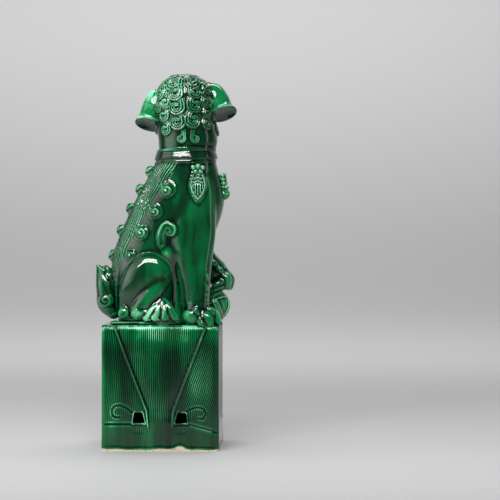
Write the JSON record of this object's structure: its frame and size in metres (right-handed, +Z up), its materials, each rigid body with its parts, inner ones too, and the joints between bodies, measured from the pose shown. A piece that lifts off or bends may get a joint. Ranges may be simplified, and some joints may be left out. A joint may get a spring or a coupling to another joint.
{
  "type": "foo dog statue",
  "caption": "Glazed stoneware guardian lion seated on a tall hollow box plinth, head turned to its left, one forepaw raised on a ball.",
  "frame": {"origin": "centre of the statue's bounding box, at the level it stands on", "axes": "+Z up, +X the way the animal's body faces, +Y the way its turned head faces"},
  "size_m": [0.119, 0.0794, 0.3193],
  "materials": {
    "deep_green_glaze": "gloss",
    "thin_green_glaze": "gloss"
  },
  "bodies": {
    "root": {"right_plinth_wall": "deep_green_glaze", "left_plinth_wall": "deep_green_glaze", "front_plinth_wall": "deep_green_glaze", "rear_plinth_wall": "deep_green_glaze", "plinth_top": "deep_green_glaze", "ground_pad": "deep_green_glaze", "torso": "deep_green_glaze", "right_foreleg": "deep_green_glaze", "left_foreleg": "deep_green_glaze", "right_haunch": "deep_green_glaze", "left_haunch": "deep_green_glaze", "right_hind_paw": "deep_green_glaze", "left_hind_paw": "deep_green_glaze", "tail": "deep_green_glaze", "head": "deep_green_glaze", "lower_jaw": "deep_green_glaze", "beard": "deep_green_glaze", "nose": "deep_green_glaze", "right_brow": "deep_green_glaze", "left_brow": "deep_green_glaze", "right_ear": "deep_green_glaze", "left_ear": "deep_green_glaze", "right_drape": "thin_green_glaze", "left_drape": "thin_green_glaze", "ball": "thin_green_glaze", "tongue": "thin_green_glaze", "upper_teeth": "thin_green_glaze", "right_eye": "thin_green_glaze", "left_eye": "thin_green_glaze", "collar": "thin_green_glaze", "right_tassel": "thin_green_glaze", "left_tassel": "thin_green_glaze", "chest_bell": "thin_green_glaze", "spine_knob_1": "thin_green_glaze", "spine_knob_2": "thin_green_glaze", "spine_knob_3": "thin_green_glaze", "spine_knob_4": "thin_green_glaze", "spine_knob_5": "thin_green_glaze", "right_flank_curl_1": "thin_green_glaze", "left_flank_curl_1": "thin_green_glaze", "right_flank_curl_2": "thin_green_glaze", "left_flank_curl_2": "thin_green_glaze", "right_flank_curl_3": "thin_green_glaze", "left_flank_curl_3": "thin_green_glaze", "right_flank_curl_4": "thin_green_glaze", "left_flank_curl_4": "thin_green_glaze", "right_elbow_curl": "thin_green_glaze", "left_elbow_curl": "thin_green_glaze"}
  },
  "joints": []
}
